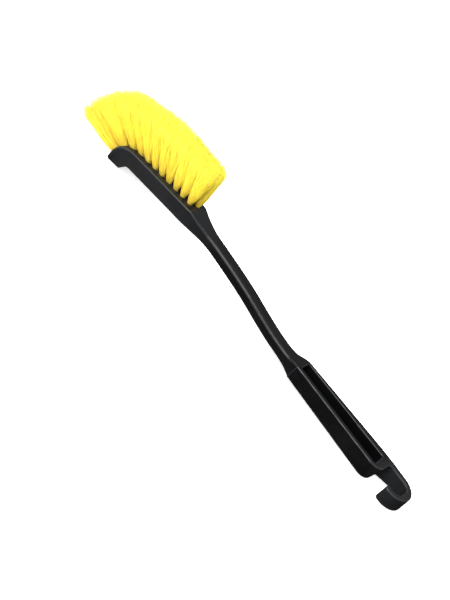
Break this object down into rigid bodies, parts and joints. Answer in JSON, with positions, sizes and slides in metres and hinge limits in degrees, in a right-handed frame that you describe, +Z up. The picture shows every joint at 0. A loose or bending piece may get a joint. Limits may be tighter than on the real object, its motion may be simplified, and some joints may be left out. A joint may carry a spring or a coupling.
{
  "type": "wheel brush",
  "caption": "Long-handled wheel brush with an angled front crown, two rows of yellow filament tufts, an arched shaft, a hollow grip and a hanging hook.",
  "frame": {"origin": "under the middle of the brush's box, on the surface that it lies on with the bristles up", "axes": "+X from the head to the hook, +Z up along the heel bristles, -Y the side that the hook opens to"},
  "size_m": [0.3298, 0.0254, 0.0535],
  "materials": {
    "block_plastic": "satin moulded polypropylene, near black",
    "filament": "soft flagged filament, lemon yellow",
    "anchor_wire": "drawn flat wire"
  },
  "bodies": {
    "root": {"block": "block_plastic", "tuft_near_01": "filament", "anchor_near_01": "anchor_wire", "tuft_near_02": "filament", "anchor_near_02": "anchor_wire", "tuft_near_03": "filament", "anchor_near_03": "anchor_wire", "tuft_near_04": "filament", "anchor_near_04": "anchor_wire", "tuft_near_05": "filament", "anchor_near_05": "anchor_wire", "tuft_near_06": "filament", "anchor_near_06": "anchor_wire", "tuft_near_07": "filament", "anchor_near_07": "anchor_wire", "tuft_near_08": "filament", "anchor_near_08": "anchor_wire", "tuft_near_09": "filament", "anchor_near_09": "anchor_wire", "tuft_near_10": "filament", "anchor_near_10": "anchor_wire", "tuft_near_11": "filament", "anchor_near_11": "anchor_wire", "tuft_far_01": "filament", "anchor_far_01": "anchor_wire", "tuft_far_02": "filament", "anchor_far_02": "anchor_wire", "tuft_far_03": "filament", "anchor_far_03": "anchor_wire", "tuft_far_04": "filament", "anchor_far_04": "anchor_wire", "tuft_far_05": "filament", "anchor_far_05": "anchor_wire", "tuft_far_06": "filament", "anchor_far_06": "anchor_wire", "tuft_far_07": "filament", "anchor_far_07": "anchor_wire", "tuft_far_08": "filament", "anchor_far_08": "anchor_wire", "tuft_far_09": "filament", "anchor_far_09": "anchor_wire", "tuft_far_10": "filament", "anchor_far_10": "anchor_wire", "tuft_far_11": "filament", "anchor_far_11": "anchor_wire"}
  },
  "joints": []
}
